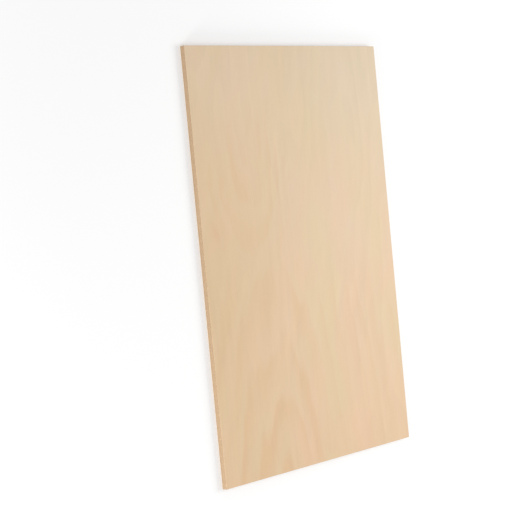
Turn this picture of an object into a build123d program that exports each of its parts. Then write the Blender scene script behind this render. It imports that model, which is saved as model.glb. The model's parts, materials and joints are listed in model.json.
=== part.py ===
"""Birch plywood sheet, 24 x 36 in and 12 mm thick, cut from a larger panel and lying on its back face.

Nine rotary-cut birch veneers are glued into one flat sheet. The grain of each veneer runs square to
that of its neighbours: the two face veneers and every second ply inside run with the sheet's length,
and the crossbands between them run with its width. The two face veneers are sanded after pressing,
so they end up thinner than the plies inside. The saw leaves all four edges flush and square, and the
sheet's outer arrises and upright corners are eased by one light pass of sandpaper.

Units are millimetres. X is the sheet's width, Y its length and Z its thickness. The origin is the
centre of the back face, which is the side that lies down.
"""

import os

from build123d import *

# Driving dimensions
sheet_width = 609.6
sheet_length = 914.4
face_veneer_thickness = 1.17
core_veneer_thickness = 1.38
crossband_count = 4
corner_ease = 0.4
arris_ease = 0.3

# A fillet can't eat the whole of the thin sanded veneer that carries it.
largest_arris_share = 0.8
arris_radius = min(arris_ease, largest_arris_share * face_veneer_thickness)


def veneer(thickness, bottom, grain_along_length):
    """One ply at its place in the stack, drawn in its own frame with the grain along local X."""
    along_grain, across_grain = sheet_width, sheet_length
    turn = 0
    if grain_along_length:
        along_grain, across_grain = sheet_length, sheet_width
        turn = 90
    outline = Rot(0, 0, turn) * RectangleRounded(along_grain, across_grain, corner_ease)
    return Pos(0, 0, bottom) * extrude(outline, thickness)


def ease_arris(ply, at_top):
    """Rounds the arris of a face veneer all round its outer face."""
    outer_face = ply.faces().sort_by(Axis.Z)[-1 if at_top else 0]
    return fillet(outer_face.edges(), arris_radius)


def lay_up():
    """All plies by name, from the back face up. Grain directions alternate from ply to ply."""
    plies = {}
    bottom = 0.0

    back = veneer(face_veneer_thickness, bottom, grain_along_length=True)
    plies["back_veneer"] = ease_arris(back, at_top=False)
    bottom += face_veneer_thickness

    for number in range(1, crossband_count + 1):
        plies[f"crossband_{number}"] = veneer(core_veneer_thickness, bottom, grain_along_length=False)
        bottom += core_veneer_thickness
        if number < crossband_count:
            plies[f"long_core_{number}"] = veneer(core_veneer_thickness, bottom, grain_along_length=True)
            bottom += core_veneer_thickness

    front = veneer(face_veneer_thickness, bottom, grain_along_length=True)
    plies["front_veneer"] = ease_arris(front, at_top=True)
    return plies


def main():
    os.makedirs("parts", exist_ok=True)
    for name, ply in lay_up().items():
        export_step(ply, f"parts/{name}.step")


main()
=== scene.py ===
"""Looks of a birch plywood sheet, lying on its back face: nine veneers, their wood and the stage.

Everything is in metres, in the frame's own axes: X is the sheet's width, Y its length and Z its
thickness. Each ply of the frame is modelled again as a grid of clean faces with eased edges, glue
lines that wander a little, and end grain that the saw left a hair below the side grain. The wood is
worked out in millimetres from the ply's own coordinates, along and across its grain.
"""

import json
from math import ceil

import bmesh
import bpy
from bpy.props import FloatProperty, FloatVectorProperty, PointerProperty
from bpy.types import Operator, Panel, PropertyGroup
from mathutils import Matrix, Vector, noise


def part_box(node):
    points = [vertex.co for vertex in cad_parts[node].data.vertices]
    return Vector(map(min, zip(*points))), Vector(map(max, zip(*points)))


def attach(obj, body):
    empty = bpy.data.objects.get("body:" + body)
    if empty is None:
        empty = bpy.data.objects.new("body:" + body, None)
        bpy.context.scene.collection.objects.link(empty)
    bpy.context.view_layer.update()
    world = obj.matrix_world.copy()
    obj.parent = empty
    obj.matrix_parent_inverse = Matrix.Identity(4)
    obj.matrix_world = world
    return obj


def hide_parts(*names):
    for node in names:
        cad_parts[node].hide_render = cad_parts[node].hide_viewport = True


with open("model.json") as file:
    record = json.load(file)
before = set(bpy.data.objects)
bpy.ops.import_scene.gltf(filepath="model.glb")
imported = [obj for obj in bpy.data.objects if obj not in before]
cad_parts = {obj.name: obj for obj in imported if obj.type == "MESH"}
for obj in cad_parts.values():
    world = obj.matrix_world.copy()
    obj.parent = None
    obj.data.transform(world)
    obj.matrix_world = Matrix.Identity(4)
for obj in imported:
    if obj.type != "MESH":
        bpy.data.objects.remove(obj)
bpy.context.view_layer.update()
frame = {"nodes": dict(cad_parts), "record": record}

bl_info = {
    "name": "Birch plywood sheet",
    "version": (1, 0, 0),
    "blender": (4, 5, 0),
    "location": "View3D > Sidebar > Plywood",
    "description": "Models the veneers of a birch plywood sheet, their wood and a plain stage",
    "category": "Object",
}

MM = 0.001
ALONG_WIDTH = Vector((1, 0, 0))
ALONG_LENGTH = Vector((0, 1, 0))

# Each point of a ply carries its height above the ply's bottom, before the glue lines wander
RISE = "height_in_ply"

# How a ply lies in the picture of its finish: the width of a seen face, the height of the strip for
# hidden faces, the margin round each and the gap between two of them. Rows of the edge fill the
# rest, in so many columns
LAYOUT = "OFBake"
FACE_SHARE = 2 / 3
HIDDEN_SHARE = 0.05
MARGIN = 0.002
HIDDEN_GAP = 0.04
COLUMNS_BESIDE_FACE = 2
COLUMNS_ALONE = 4

# A face is part of the edge where less than this of its normal points up or down, and an edge runs
# upright where more than this of its length does. Points closer than the tolerance are at one place
LEVEL_FACING = 0.75
UPRIGHT_SHARE = 0.9
TOLERANCE = 0.001 * MM

# Flat steps in each rounded corner and arris
ROUND_STEPS = 4

# Birch, in millimetres: how far the grain sways, how thick a glue line is and how much that varies.
# Glue is solid up to the first of its limits and gone past the second, as parts of its thickness
GRAIN_SWAY = 22
GLUE_THICKNESS = 0.05
GLUE_UNEVENNESS = 0.03
GLUE_LIMITS = 0.7, 1.9

# Growth rings in a swell of the peeled figure, and how far apart the patterns of two plies and the
# waves of two glue lines are taken
RINGS_PER_SWELL = 3.2
PLY_SEED = 37
WAVE_SEED = 5.3

# A surface is sawn edge where up to the first share of its normal points up or down, and a face
# from the second. An edge is side grain where up to the first share of its normal points along the
# grain, and end grain from the second
FACE_FACING = 0.5, 0.8
END_FACING = 0.45, 0.75

# What the front face has in one place only: the middle of it, and how far it reaches across and
# along the sheet, in millimetres
SAPWOOD = (250, 420), (350, 300)
HEARTWOOD = (-305, -10), (340, 560)
MINERAL_STREAK = (-262, 70), (20, 34)

# Growth rings that the knife laid open on the front face, as ovals round a middle: the middle, the
# width of a ring across and along the sheet, how many rings they wander by, and over what length
# across and along. The arches rise from a middle past the lower end, and the bowls hang from theirs
# inside a spot at the upper left. All lengths are in millimetres
ARCHES = (-120, -738), (39.4, 151), 0.73, (62.5, 280)
BOWLS = (-159.5, 305.5), (29, 105.5), 1.04, (93, 195)
BOWLS_SPOT = (-160, 150), (190, 230)

# The arches fade out between these two places along the sheet, and lose this share of their
# strength between these two across it
ARCHES_TOP = -110, 30
SIDE_LOSS = 0.6
ARCHES_SIDE = -80, 60

# How strong such rings are in their faintest stretches
FAINTEST = 0.3

# Ridges that the saw left on the edge: the width and height of one in millimetres, how far it
# leans, and where its pattern is taken
RIDGE_WIDTH = 0.7
RIDGE_HEIGHT = 9
RIDGE_LEAN = 0.15
RIDGE_SEED = 5.0

# Surface of the wood: depth of its relief in metres, how much of it shows, how rough a sanded face
# is, how much rougher a sawn edge, how strongly both shine, and how many times as clear the fine
# grain is on a sawn side
RELIEF_DEPTH = 0.02 * MM
RELIEF_STRENGTH = 0.7
FACE_ROUGHNESS = 0.55
SAWN_ROUGHNESS = 0.15
SHINE = 0.45
SIDE_CONTRAST = 1.4

# Width of the camera's sensor in millimetres
SENSOR_WIDTH = 36.0

# The plies by name, from the back face up, as the frame stacks them
PLIES = sorted(frame["nodes"], key=lambda node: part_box(node)[0].z)
FACE_VENEERS = [node for node in PLIES if node.endswith("_veneer")]
CROSSBANDS = [node for node in PLIES if node.startswith("crossband")]
LONG_CORES = [node for node in PLIES if node.startswith("long_core")]

slot_colours = {m["slot"]: m["base_color"] for m in frame["record"]["materials"]}


def colour_property(name, description, default):
    """A colour that a user can change."""
    return FloatVectorProperty(name=name, description=description, default=default,
                               subtype="COLOR", size=3, min=0.0, max=1.0)


def length_property(name, description, default):
    """A length in metres that a user can change."""
    return FloatProperty(name=name, description=description, default=default,
                         unit="LENGTH", min=0.0, precision=5)


def place_property(name, description, default):
    """A point in metres that a user can change."""
    return FloatVectorProperty(name=name, description=description, default=default,
                               subtype="TRANSLATION", unit="LENGTH", size=3)


def share_property(name, description, default):
    """A strength from none to full that a user can change."""
    return FloatProperty(name=name, description=description, default=default,
                         min=0.0, soft_max=1.0, precision=4)


def power_property(name, description, default):
    """A lamp's power in watts that a user can change."""
    return FloatProperty(name=name, description=description, default=default,
                         min=0.0, subtype="POWER")


class VeneerCut(PropertyGroup):
    """How the plies are cut, eased and stacked."""

    corner_radius: length_property(
        "Corner radius", "Rounding of the sheet's upright corners", 0.4 * MM)
    arris_radius: length_property(
        "Arris radius", "Rounding of the two faces' outer edges", 0.3 * MM)
    hairline: length_property(
        "Hairline", "Easing of a ply's edge beside a glue line", 0.05 * MM)
    end_recess: length_property(
        "End grain recess", "How far the saw left end grain below side grain", 0.06 * MM)
    wander_height: length_property(
        "Glue line wander", "How far a glue line strays from its plane", 0.07 * MM)
    wander_length: length_property(
        "Glue line wave", "Length over which a glue line strays", 85 * MM)
    cell: length_property(
        "Cell", "Side of the squares that a ply's faces are divided into", 19.05 * MM)


class BirchFinish(PropertyGroup):
    """Colours and strengths of the wood."""

    face_colour: colour_property(
        "Face", "Cream of the sanded face", slot_colours["face_veneer"])
    pink_colour: colour_property(
        "Pink flame", "Pinkish cream that the face drifts to", (0.798, 0.546, 0.345))
    gold_colour: colour_property(
        "Golden patch", "Yellower cream in patches", (0.738, 0.572, 0.332))
    sap_colour: colour_property(
        "Sapwood", "Paler, greener cream near the upper right corner", (0.745, 0.615, 0.44))
    heart_colour: colour_property(
        "Heartwood", "Deeper cream along the left edge", (0.715, 0.505, 0.285))
    streak_colour: colour_property(
        "Streak", "One small reddish mineral streak in the heartwood", (0.70, 0.42, 0.25))
    late_colour: colour_property(
        "Late wood", "Pinker, deeper cream at the dark side of a growth ring", (0.752, 0.50, 0.285))
    side_colour: colour_property(
        "Side grain", "Wood cut along its grain on a sawn edge", slot_colours["long_core_veneer"])
    end_colour: colour_property(
        "End grain", "Wood cut across its grain on a sawn edge", slot_colours["crossband_veneer"])
    glue_colour: colour_property(
        "Glue line", "Hardened glue between two plies", (0.13, 0.06, 0.03))
    pink_drift: share_property(
        "Pink drift", "Gain of pink for each millimetre towards the lower end", 0.0013)
    gold: share_property(
        "Gold", "Strength of the golden patches", 0.8)
    sap: share_property(
        "Sap", "Strength of the sapwood", 0.6)
    heart: share_property(
        "Heart", "Strength of the heartwood", 0.7)
    stain: share_property(
        "Stain", "Strength of the mineral streak", 0.45)
    arches: share_property(
        "Arches", "Strength of the growth rings that arch up from the lower end", 0.88)
    bowls: share_property(
        "Bowls", "Strength of the growth rings at the upper left", 0.85)
    figure: share_property(
        "Figure", "Darkness of the wandering bands where the knife crosses a growth ring", 0.025)
    flame: share_property(
        "Flame", "Strength of the slanting bands of sheen", 0.045)
    fibre: share_property(
        "Fibre", "Strength of the fine streaks along the grain", 0.08)
    pores: share_property(
        "Pores", "Darkness of the short pore lines", 0.22)
    ply_tone: share_property(
        "Ply tone", "How far one ply's edge is lighter or darker than another's", 0.08)
    saw_marks: share_property(
        "Saw marks", "Strength of the upright ridges that the saw left", 0.05)
    glue: share_property(
        "Glue", "Strength of the glue lines", 0.75)


class StageSettings(PropertyGroup):
    """Floor, lamps and camera."""

    floor_colour: colour_property("Floor", "Plain white floor", (0.8, 0.8, 0.8))
    floor_width: length_property("Floor width", "Side of the square floor", 60.0)
    floor_gap: length_property("Floor gap", "How far the floor lies under the sheet", 0.02 * MM)
    near_glow: share_property("Near glow", "Light that keeps the floor white round the sheet", 0.26)
    far_glow: share_property("Far glow", "Light that keeps the floor white past the lamps", 0.65)
    glow_start: length_property("Glow start", "Distance at which the glow starts to grow", 0.6)
    glow_end: length_property("Glow end", "Distance at which the glow is full", 3.0)
    sky_strength: share_property("Sky", "Strength of the even white light from all round", 0.61)
    key_place: place_property("Key", "Large lamp high on the sheet's right", (2.2, -0.1, 1.6))
    key_size: length_property("Key size", "Side of the key lamp", 1.4)
    key_power: power_property("Key power", "Power of the key lamp", 34.0)
    fill_place: place_property("Fill", "Low lamp that lights the near edge", (-2.4, -1.2, 0.45))
    fill_size: length_property("Fill size", "Side of the fill lamp", 0.5)
    fill_power: power_property("Fill power", "Power of the fill lamp", 35.0)
    camera_place: place_property(
        "Camera", "Camera on the sheet's left, looking down across it", (-2.5332, 0.1443, 2.2966))
    camera_aim: place_property(
        "Aim", "Point in the middle of the picture", (-0.1392, 0.0002, 0.0122))
    camera_top: place_property(
        "Top", "Direction that runs up the picture, nearly the sheet's length",
        (0.0965, 0.9946, 0.0383))
    lens: FloatProperty(
        name="Lens", description=f"Focal length on a {SENSOR_WIDTH:.0f} mm wide sensor",
        default=107.6, min=1.0, unit="CAMERA")


class Value:
    """A number that runs between shader nodes. Python's operators on it add the Math nodes."""

    def __init__(self, finish, socket):
        self.finish = finish
        self.socket = socket

    def __add__(self, other):
        return self.finish.math("ADD", self, other)

    def __sub__(self, other):
        return self.finish.math("SUBTRACT", self, other)

    def __rsub__(self, other):
        return self.finish.math("SUBTRACT", other, self)

    def __mul__(self, other):
        return self.finish.math("MULTIPLY", self, other)

    def __truediv__(self, other):
        return self.finish.math("DIVIDE", self, other)

    def __abs__(self):
        return self.finish.math("ABSOLUTE", self)

    __radd__ = __add__
    __rmul__ = __mul__


class Finish:
    """The node tree of one material, with short ways to add to it."""

    def __init__(self, tree):
        self.tree = tree
        self.tree.nodes.clear()

    def add(self, kind, settings=None, sockets=None):
        """Adds a node. Its settings come first, then the values or links of its sockets."""
        node = self.tree.nodes.new("ShaderNode" + kind)
        for setting, choice in (settings or {}).items():
            setattr(node, setting, choice)
        for key, source in (sockets or {}).items():
            socket = self.open_socket(node.inputs, key)
            if isinstance(source, Value):
                source = source.socket
            if isinstance(source, bpy.types.NodeSocket):
                self.tree.links.new(source, socket)
            elif socket.type == "RGBA":
                socket.default_value = (*source, 1.0)
            else:
                socket.default_value = source
        return node

    def open_socket(self, sockets, key):
        """The socket in use with that name, or at that place in the list."""
        if isinstance(key, int):
            return sockets[key]
        return next(socket for socket in sockets if socket.name == key and socket.enabled)

    def math(self, operation, *terms):
        """The result of one Math node."""
        node = self.add("Math", {"operation": operation}, dict(enumerate(terms)))
        return Value(self, node.outputs[0])

    def place(self, x, y, z):
        """A point from its three coordinates."""
        return self.add("CombineXYZ", None, {0: x, 1: y, 2: z}).outputs[0]

    def parts(self, vector):
        """The three coordinates of a point or direction."""
        node = self.add("SeparateXYZ", None, {0: vector})
        return [Value(self, socket) for socket in node.outputs]

    def noise(self, place, detail=2.0, roughness=0.5):
        """Smooth noise about zero, mostly between -1 and 1."""
        node = self.add("TexNoise", {"noise_dimensions": "3D"},
                        {"Vector": place, "Scale": 1.0, "Detail": detail, "Roughness": roughness})
        return Value(self, node.outputs[0]) * 2.0 - 1.0

    def rise(self, value, low, high):
        """Goes smoothly from 0 where the value is low to 1 where it is high."""
        node = self.add("MapRange", {"interpolation_type": "SMOOTHSTEP"},
                        {"Value": value, "From Min": low, "From Max": high})
        return Value(self, node.outputs[0])

    def blend(self, share, first, second):
        """The first colour where the share is 0, the second where it is 1."""
        node = self.add("Mix", {"data_type": "RGBA"}, {"Factor": share, "A": first, "B": second})
        return self.open_socket(node.outputs, "Result")

    def shade(self, colour, amount):
        """The colour made lighter or darker, as many times as bright as the amount says."""
        node = self.add("VectorMath", {"operation": "SCALE"}, {"Vector": colour, "Scale": amount})
        return node.outputs[0]

    def mix_shaders(self, share, first, second):
        """The node of the first shader where the share is 0, and of the second where it is 1."""
        return self.add("MixShader", None, {0: share, 1: first.outputs[0], 2: second.outputs[0]})


def new_material(name):
    """An empty node material and its finish."""
    material = bpy.data.materials.new(name)
    material.use_nodes = True
    return material, Finish(material.node_tree)


class PlyGrain:
    """A point's place along, across and into its ply's grain, in millimetres, and how it is cut."""

    def __init__(self, wood, node, grain):
        spot = wood.add("TexCoord")
        x, y, z = (part / MM for part in wood.parts(spot.outputs["Object"]))
        facing_x, facing_y, facing_z = (abs(part) for part in wood.parts(spot.outputs["Normal"]))
        self.wood = wood
        level = PLIES.index(node)
        self.seed = PLY_SEED * level
        if grain == ALONG_LENGTH:
            self.along, self.across, facing_end = y, x, facing_y
        else:
            self.along, self.across, facing_end = x, y, facing_x
        self.depth = z
        self.line = self.across
        # The grain sways a little from the ply's own direction
        self.line += GRAIN_SWAY * self.patches(wide=260, long=560, layer=0)
        self.is_edge = 1 - wood.rise(facing_z, *FACE_FACING)
        self.is_end = wood.rise(facing_end, *END_FACING)
        self.from_glue = self.distance_to_glue(node, level)

    def distance_to_glue(self, node, level):
        """Distance to the nearest glue line. The outer side of a face veneer has none."""
        low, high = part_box(node)
        rise = self.wood.add("Attribute", {"attribute_name": RISE}).outputs["Fac"]
        above = Value(self.wood, rise) / MM
        below = (high.z - low.z) / MM - above
        if level == 0:
            return below
        if level == len(PLIES) - 1:
            return above
        return self.wood.math("MINIMUM", above, below)

    def strands(self, wide, long, deep, detail=1.0, roughness=0.5):
        """Noise in strands, of that size in millimetres across, along and into the grain."""
        spot = self.wood.place(self.line / wide, self.along / long, self.depth / deep + self.seed)
        return self.wood.noise(spot, detail, roughness)

    def patches(self, wide, long, layer, detail=1.0, lean=0.0):
        """Noise in patches of that size in millimetres, which lean over by so much along the grain.

        It runs right through the ply, and each layer has a pattern of its own.
        """
        side = self.line - self.along * lean if lean else self.line
        spot = self.wood.place(side / wide, self.along / long, self.seed + layer)
        return self.wood.noise(spot, detail)

    def specks(self, wide, high, layer, detail=1.0, lean=0.0):
        """Noise on sawn end grain, of that size in millimetres, leaning over by so much upwards."""
        side = self.across + self.depth * lean if lean else self.across
        spot = self.wood.place(side / wide, self.depth / high, self.seed + layer)
        return self.wood.noise(spot, detail)


def fine_grain(wood, ply):
    """Streaks, fibres and pores that run along the grain, the same on a face and on a sawn side."""
    streak = ply.strands(wide=5, long=330, deep=0.9, detail=2.0)
    fibre = ply.strands(wide=0.8, long=34, deep=0.3, detail=3.0, roughness=0.65)
    pore = wood.rise(ply.strands(wide=0.17, long=3.0, deep=0.17), 0.3, 0.6)
    return streak, fibre, pore


def ring_shade(wood, rings, darkest):
    """Dark side of growth rings: slowly up through each ring to where it is darkest, then down."""
    ring = wood.math("FRACT", rings)
    return wood.rise(ring, 0.0, darkest) * (1 - wood.rise(ring, darkest, 1.0))


def peeled_figure(wood, ply, looks):
    """Brightness of a peeled face: rings where the knife crossed the growth, and a silky sheen."""
    swell = (1.5 * ply.patches(wide=230, long=900, layer=3)
             + 0.45 * ply.patches(wide=75, long=420, layer=5)
             + 0.06 * ply.patches(wide=24, long=160, layer=9))
    late = ring_shade(wood, swell * RINGS_PER_SWELL, darkest=0.85)
    shown = wood.rise(ply.patches(wide=160, long=420, layer=11), -0.5, 0.3)
    silky = wood.rise(ply.patches(wide=170, long=240, layer=13), -0.2, 0.5)
    flame = ply.patches(wide=28, long=210, layer=17, lean=0.4)
    ripple_spot = wood.place(ply.line / 60, (ply.along - 0.4 * ply.line) / 12, ply.seed + 19)
    ripple = wood.noise(ripple_spot, 1.0)
    return looks.flame * (flame + 0.3 * ripple) * silky - looks.figure * late * shown


def peeled_hue(wood, ply, looks):
    """Colour of a sanded face: cream, pinker to one end and in slanting flames, golden in spots."""
    flames = (0.5 * ply.patches(wide=100, long=330, layer=21, detail=2.0, lean=0.47)
              + 0.42 * ply.patches(wide=29, long=120, layer=23, lean=0.47))
    pink = wood.rise(flames - ply.along * looks.pink_drift, -0.8, 0.65)
    gold = wood.rise(ply.patches(wide=110, long=240, layer=27, detail=2.0), -0.45, 0.6)
    cream = wood.blend(pink, looks.face_colour, looks.pink_colour)
    return wood.blend(gold * looks.gold, cream, looks.gold_colour)


def distance(wood, ply, middle, reach):
    """How far a point lies from a middle, where 1 is an oval of that reach across and along."""
    off_across = (ply.line - middle[0]) / reach[0]
    off_along = (ply.along - middle[1]) / reach[1]
    return wood.math("SQRT", off_across * off_across + off_along * off_along)


def nearness(wood, ply, spot):
    """1 in the middle of a spot on the sheet, falling to 0 at its ragged outline."""
    middle, reach = spot
    ragged = 0.3 * ply.patches(wide=reach[0] / 2, long=reach[1], layer=31, detail=2.0)
    return wood.rise(1 - distance(wood, ply, middle, reach) + ragged, 0.0, 1.0)


def late_wood(wood, ply, rings, layer):
    """How dark the growth rings round a middle are. Some stretches of them stay faint."""
    middle, width, wander, (wide, long) = rings
    ragged = wander * ply.patches(wide, long, layer, detail=2.0)
    shade = ring_shade(wood, distance(wood, ply, middle, width) + ragged, darkest=0.75)
    shown = wood.rise(ply.patches(wide, long, layer + 1), -0.35, 0.25)
    return (FAINTEST + (1 - FAINTEST) * shown) * shade


def front_tints(wood, ply, looks, hue):
    """The front face's hue with its growth rings, sapwood, heartwood and mineral streak."""
    below_top = 1 - wood.rise(ply.along, *ARCHES_TOP)
    past_side = 1 - SIDE_LOSS * wood.rise(ply.line, *ARCHES_SIDE)
    arches = late_wood(wood, ply, ARCHES, layer=142) * below_top * past_side
    bowls = late_wood(wood, ply, BOWLS, layer=13) * nearness(wood, ply, BOWLS_SPOT)
    for share, tint in ((looks.arches * arches, looks.late_colour),
                        (looks.bowls * bowls, looks.late_colour),
                        (looks.sap * nearness(wood, ply, SAPWOOD), looks.sap_colour),
                        (looks.heart * nearness(wood, ply, HEARTWOOD), looks.heart_colour),
                        (looks.stain * nearness(wood, ply, MINERAL_STREAK), looks.streak_colour)):
        hue = wood.blend(share, hue, tint)
    return hue


def sawn_end(wood, ply):
    """Brightness and height of wood sawn across its grain: pores, upright rays, slanting checks."""
    pore = wood.rise(ply.specks(wide=0.2, high=0.2, layer=0), 0.05, 0.5)
    blotch = ply.specks(wide=18, high=2.0, layer=2, detail=3.0)
    stripe = ply.specks(wide=6, high=0.17, layer=4, detail=2.0)
    ray = ply.specks(wide=0.09, high=1.1, layer=8, lean=0.12)
    torn = wood.rise(ply.specks(wide=5, high=1.5, layer=10, detail=2.0), -0.2, 0.5)
    veer = ply.specks(wide=0.9, high=2.0, layer=6, detail=2.0, lean=0.8)
    check = (1 - wood.rise(abs(veer), 0.0, 0.07)) * torn
    tone = 1.03 + 0.16 * blotch + 0.1 * stripe + 0.07 * ray - 0.2 * pore - 0.35 * check
    return tone, 0.25 * ray - 0.7 * pore - check


def saw_ridges(wood, ply):
    """Faint upright ridges from the saw's teeth, measured along the sheet's edge."""
    run = ply.across * ply.is_end + ply.along * (1 - ply.is_end)
    side = run + RIDGE_LEAN * ply.depth
    return wood.noise(wood.place(side / RIDGE_WIDTH, ply.depth / RIDGE_HEIGHT, RIDGE_SEED))


def wood_material(node, grain, looks, shows_face):
    """Birch veneer, peeled on its faces and sawn on its edges."""
    material, wood = new_material(node + "_wood")
    ply = PlyGrain(wood, node, grain)
    streak, fibre, pore = fine_grain(wood, ply)
    fine = looks.fibre * (0.3 * streak + 0.7 * fibre) - looks.pores * pore
    ridges = saw_ridges(wood, ply)
    edge_tone = (looks.ply_tone * ply.patches(wide=260, long=260, layer=41)
                 + looks.saw_marks * ridges)
    end_tone, end_relief = sawn_end(wood, ply)
    side = wood.shade(looks.side_colour, 1.0 + SIDE_CONTRAST * fine + edge_tone)
    end = wood.shade(looks.end_colour, end_tone + edge_tone)
    colour = wood.blend(ply.is_end, side, end)
    if shows_face:
        hue = peeled_hue(wood, ply, looks)
        if node == PLIES[-1]:
            hue = front_tints(wood, ply, looks, hue)
        face = wood.shade(hue, 1.0 + peeled_figure(wood, ply, looks) + fine)
        colour = wood.blend(ply.is_edge, face, colour)
    seam = GLUE_THICKNESS + GLUE_UNEVENNESS * ply.patches(wide=6, long=6, layer=43, detail=2.0)
    glue = (1 - wood.rise(ply.from_glue / seam, *GLUE_LIMITS)) * ply.is_edge
    colour = wood.blend(glue * looks.glue, colour, looks.glue_colour)
    relief = 0.4 * fibre - 0.6 * pore
    height = relief + (end_relief - relief) * ply.is_end + 0.6 * ridges * ply.is_edge - glue
    bump = wood.add("Bump", None, {
        "Height": height, "Distance": RELIEF_DEPTH, "Strength": RELIEF_STRENGTH})
    rough = FACE_ROUGHNESS + 0.04 * relief + SAWN_ROUGHNESS * ply.is_edge
    shader = wood.add("BsdfPrincipled", None, {
        "Base Color": colour, "Roughness": rough, "Normal": bump.outputs[0],
        "Specular IOR Level": SHINE})
    wood.add("OutputMaterial", None, {"Surface": shader.outputs[0]})
    return material


def is_level(edge, height):
    """True if the edge runs at that height."""
    return all(abs(vert.co.z - height) < TOLERANCE for vert in edge.verts)


def is_upright(edge):
    """True if the edge runs straight up, or nearly so."""
    along = edge.verts[1].co - edge.verts[0].co
    return abs(along.z) > UPRIGHT_SHARE * along.length


def ease_edges(bm, edges, radius, segments):
    """Rounds edges to a radius."""
    bmesh.ops.bevel(bm, geom=edges, offset=radius, offset_type="OFFSET", affect="EDGES",
                    segments=segments, profile=0.5, material=-1)


def cut_cells(bm, low, high, cell):
    """Divides the block's faces into squares, by cuts across its width and its length."""
    for axis, direction in enumerate((ALONG_WIDTH, ALONG_LENGTH)):
        span = high[axis] - low[axis]
        count = round(span / cell)
        for number in range(1, count):
            spot = direction * (low[axis] + span * number / count)
            bmesh.ops.bisect_plane(bm, geom=bm.verts[:] + bm.edges[:] + bm.faces[:], dist=TOLERANCE,
                                   plane_co=spot, plane_no=direction)


def glue_wander(place, level, cut):
    """How far the glue line at that level strays from its plane."""
    spot = Vector((place.x, place.y, 0)) / cut.wander_length
    return cut.wander_height * noise.noise(spot + Vector((0, 0, WAVE_SEED * level)))


class FlatLayout:
    """Where a ply's faces lie in the picture of its finish, as shares of its width and height.

    A seen face fills the left of the picture. The four edges are long and thin, so they are cut
    into cells that lie in rows beside it, and the faces hidden between plies share the strip below.
    """

    def __init__(self, low, high, cell, shows_face):
        self.low = low
        self.span = high - low
        self.counts = [round(self.span[axis] / cell) for axis in (0, 1)]
        self.left = FACE_SHARE if shows_face else 0.0
        self.width = 1 - self.left - 2 * MARGIN
        self.columns = COLUMNS_BESIDE_FACE if shows_face else COLUMNS_ALONE
        self.pitch = (1 - HIDDEN_SHARE) / ceil(2 * sum(self.counts) / self.columns)

    def shares(self, point):
        """How far a point lies along the sheet's width and its length, from 0 to 1."""
        return [(point[axis] - self.low[axis]) / self.span[axis] for axis in (0, 1)]

    def on_seen_face(self, point):
        """Place of a point of the seen face."""
        x, y = self.shares(point)
        return x * (self.left - MARGIN), y

    def on_hidden_face(self, point, number, count):
        """Place of a point of a hidden face, one of so many side by side."""
        x, y = self.shares(point)
        column = number + x * (1 - HIDDEN_GAP)
        return self.left + self.width * column / count, y * (HIDDEN_SHARE - MARGIN)

    def on_edge(self, point, height, axis, is_far, cell):
        """Place of a point of the edge, in the row and column of its cell."""
        number = cell + is_far * self.counts[axis] + axis * 2 * self.counts[0]
        row, column = divmod(number, self.columns)
        along = column + self.shares(point)[axis] * self.counts[axis] - cell
        return (self.left + MARGIN + self.width * along / self.columns,
                HIDDEN_SHARE + self.pitch * (row + height / self.span.z))


def lay_flat(bm, flat, rise, is_back, is_front):
    """Gives each corner of each face its place in the picture of the ply's finish."""
    layout = bm.loops.layers.uv.new(LAYOUT)
    for face in bm.faces:
        facing, is_top = face.normal, face.normal.z > 0
        is_edge = abs(facing.z) < LEVEL_FACING
        is_seen = is_front if is_top else is_back
        axis = 1 if abs(facing.x) > abs(facing.y) else 0
        share = flat.shares(face.calc_center_median())[axis]
        cell = min(max(int(share * flat.counts[axis]), 0), flat.counts[axis] - 1)
        for loop in face.loops:
            point = loop.vert.co
            if is_edge:
                spot = flat.on_edge(point, loop.vert[rise], axis, facing[1 - axis] > 0, cell)
            elif is_seen:
                spot = flat.on_seen_face(point)
            elif is_back or is_front:
                spot = flat.on_hidden_face(point, 0, 1)
            else:
                spot = flat.on_hidden_face(point, int(is_top), 2)
            loop[layout].uv = spot


def model_ply(node, grain, cut):
    """One ply as a block inside the frame's, with its grain's ends a hair short."""
    full_low, full_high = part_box(node)
    low = full_low + grain * cut.end_recess
    high = full_high - grain * cut.end_recess
    bm = bmesh.new()
    bmesh.ops.create_cube(bm, size=1.0)
    bmesh.ops.scale(bm, vec=high - low, verts=bm.verts)
    bmesh.ops.translate(bm, vec=(low + high) / 2, verts=bm.verts)
    corners = [edge for edge in bm.edges if is_upright(edge)]
    ease_edges(bm, corners, cut.corner_radius, ROUND_STEPS)
    level = PLIES.index(node)
    is_back, is_front = level == 0, level == len(PLIES) - 1
    for height, is_outer in ((low.z, is_back), (high.z, is_front)):
        outline = [edge for edge in bm.edges if is_level(edge, height)]
        if is_outer:
            ease_edges(bm, outline, cut.arris_radius, ROUND_STEPS)
        else:
            ease_edges(bm, outline, cut.hairline, segments=1)
    cut_cells(bm, full_low, full_high, cut.cell)
    middle = (low.z + high.z) / 2
    rise = bm.verts.layers.float.new(RISE)
    for vert in bm.verts:
        vert[rise] = vert.co.z - low.z
        if vert.co.z < middle and not is_back:
            vert.co.z += glue_wander(vert.co, level, cut)
        elif vert.co.z > middle and not is_front:
            vert.co.z += glue_wander(vert.co, level + 1, cut)
    bm.normal_update()
    flat = FlatLayout(full_low, full_high, cut.cell, is_back or is_front)
    lay_flat(bm, flat, rise, is_back, is_front)
    mesh = bpy.data.meshes.new(node + "_birch")
    bm.to_mesh(mesh)
    bm.free()
    return mesh


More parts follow.
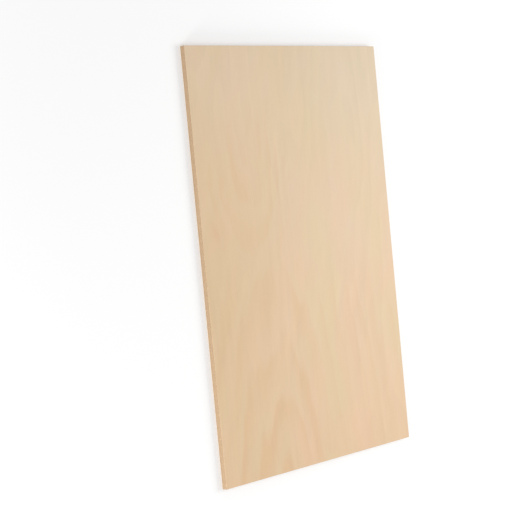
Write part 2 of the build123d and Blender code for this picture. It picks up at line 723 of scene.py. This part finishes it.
def add_plies(scene, nodes, grain, shows_face):
    """Models plies of one kind, finishes them and puts them in place of the frame's."""
    for node in nodes:
        mesh = model_ply(node, grain, scene.veneer_cut)
        mesh.materials.append(wood_material(node, grain, scene.birch_finish, shows_face))
        ply = bpy.data.objects.new(mesh.name, mesh)
        scene.collection.objects.link(ply)
        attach(ply, "root")
        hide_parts(node)


class PLYWOOD_OT_face_veneers(Operator):
    """Model the two sanded face veneers, with their grain along the sheet"""

    bl_idname = "plywood.face_veneers"
    bl_label = "Face veneers"

    def execute(self, context):
        add_plies(context.scene, FACE_VENEERS, ALONG_LENGTH, shows_face=True)
        return {"FINISHED"}


class PLYWOOD_OT_long_cores(Operator):
    """Model the inner plies whose grain runs along the sheet"""

    bl_idname = "plywood.long_cores"
    bl_label = "Long cores"

    def execute(self, context):
        add_plies(context.scene, LONG_CORES, ALONG_LENGTH, shows_face=False)
        return {"FINISHED"}


class PLYWOOD_OT_crossbands(Operator):
    """Model the inner plies whose grain runs across the sheet"""

    bl_idname = "plywood.crossbands"
    bl_label = "Crossbands"

    def execute(self, context):
        add_plies(context.scene, CROSSBANDS, ALONG_WIDTH, shows_face=False)
        return {"FINISHED"}


def seen_straight(finish):
    """1 for what the camera, a reflection or clear glass sees, 0 for plain scattered light."""
    path = finish.add("LightPath")
    seen = [Value(finish, path.outputs[name])
            for name in ("Is Camera Ray", "Is Glossy Ray", "Is Transmission Ray")]
    return finish.math("MAXIMUM", finish.math("MAXIMUM", seen[0], seen[1]), seen[2])


def add_floor(scene, stage):
    """A white floor that keeps the sheet's shadow."""
    bm = bmesh.new()
    bmesh.ops.create_grid(bm, x_segments=1, y_segments=1, size=stage.floor_width / 2)
    bmesh.ops.translate(bm, vec=(0, 0, -stage.floor_gap), verts=bm.verts)
    mesh = bpy.data.meshes.new("floor")
    bm.to_mesh(mesh)
    bm.free()
    material, paint = new_material("floor_paint")
    spot = paint.add("TexCoord")
    far = paint.add("VectorMath", {"operation": "LENGTH"}, {0: spot.outputs["Object"]})
    share = paint.rise(Value(paint, far.outputs["Value"]), stage.glow_start, stage.glow_end)
    matt = paint.add("BsdfDiffuse", None, {"Color": stage.floor_colour})
    near_glow = paint.add("Emission", None, {"Strength": stage.near_glow})
    far_glow = paint.add("Emission", None, {"Strength": stage.far_glow})
    glow = paint.mix_shaders(share, near_glow, far_glow)
    lit = paint.add("AddShader", None, {0: matt.outputs[0], 1: glow.outputs[0]})
    shown = paint.mix_shaders(seen_straight(paint), matt, lit)
    paint.add("OutputMaterial", None, {"Surface": shown.outputs[0]})
    mesh.materials.append(material)
    floor = bpy.data.objects.new("floor", mesh)
    scene.collection.objects.link(floor)


def add_sky(scene, stage):
    """Even white light from all round, and plain white where the camera sees past the floor."""
    world = bpy.data.worlds.new("studio")
    world.use_nodes = True
    scene.world = world
    air = Finish(world.node_tree)
    light = air.add("Background", None, {"Color": (1, 1, 1), "Strength": stage.sky_strength})
    white = air.add("Background", None, {"Color": (1, 1, 1), "Strength": 1.0})
    shown = air.mix_shaders(seen_straight(air), light, white)
    air.add("OutputWorld", None, {"Surface": shown.outputs[0]})


def add_lamp(scene, name, place, size, power, gleams=True):
    """A square soft lamp that points at the sheet, and leaves a shine on it only if it gleams."""
    light = bpy.data.lights.new(name, "AREA")
    light.size = size
    light.energy = power
    lamp = bpy.data.objects.new(name, light)
    lamp.location = place
    lamp.rotation_euler = (-Vector(place)).to_track_quat("-Z", "Y").to_euler()
    lamp.visible_glossy = gleams
    scene.collection.objects.link(lamp)


def add_camera(scene, stage):
    """The camera looks down on the sheet from its left, with the sheet's length up the picture."""
    place = Vector(stage.camera_place)
    forward = (Vector(stage.camera_aim) - place).normalized()
    right = forward.cross(Vector(stage.camera_top)).normalized()
    camera = bpy.data.objects.new("camera", bpy.data.cameras.new("camera"))
    camera.data.sensor_width = SENSOR_WIDTH
    camera.data.lens = stage.lens
    turn = Matrix((right, right.cross(forward), -forward)).transposed()
    camera.matrix_world = Matrix.Translation(place) @ turn.to_4x4()
    scene.collection.objects.link(camera)
    scene.camera = camera


class PLYWOOD_OT_stage(Operator):
    """Add the floor, the lamps, the sky and the camera"""

    bl_idname = "plywood.stage"
    bl_label = "Stage"

    def execute(self, context):
        scene = context.scene
        stage = scene.plywood_stage
        add_floor(scene, stage)
        add_sky(scene, stage)
        add_lamp(scene, "key", stage.key_place, stage.key_size, stage.key_power)
        add_lamp(scene, "fill", stage.fill_place, stage.fill_size, stage.fill_power, gleams=False)
        add_camera(scene, stage)
        scene.view_settings.view_transform = "Standard"
        return {"FINISHED"}


class PLYWOOD_PT_sheet(Panel):
    """Lists the steps that build the sheet and its stage"""

    bl_label = "Plywood sheet"
    bl_space_type = "VIEW_3D"
    bl_region_type = "UI"
    bl_category = "Plywood"

    def draw(self, context):
        for operator in OPERATORS:
            self.layout.operator(operator.bl_idname)
        for group in (context.scene.veneer_cut, context.scene.birch_finish,
                      context.scene.plywood_stage):
            box = self.layout.box()
            for name in group.__annotations__:
                box.prop(group, name)


OPERATORS = (
    PLYWOOD_OT_face_veneers, PLYWOOD_OT_long_cores, PLYWOOD_OT_crossbands, PLYWOOD_OT_stage)
CLASSES = (VeneerCut, BirchFinish, StageSettings, *OPERATORS, PLYWOOD_PT_sheet)


def register():
    """Registers the classes and gives the scene its settings."""
    for cls in CLASSES:
        bpy.utils.register_class(cls)
    bpy.types.Scene.veneer_cut = PointerProperty(type=VeneerCut)
    bpy.types.Scene.birch_finish = PointerProperty(type=BirchFinish)
    bpy.types.Scene.plywood_stage = PointerProperty(type=StageSettings)


def unregister():
    """Takes back what register does."""
    del bpy.types.Scene.plywood_stage
    del bpy.types.Scene.birch_finish
    del bpy.types.Scene.veneer_cut
    for cls in reversed(CLASSES):
        bpy.utils.unregister_class(cls)


def main():
    """Builds the sheet and its stage."""
    register()
    bpy.ops.plywood.face_veneers()
    bpy.ops.plywood.long_cores()
    bpy.ops.plywood.crossbands()
    bpy.ops.plywood.stage()


if __name__ == "__main__":
    main()
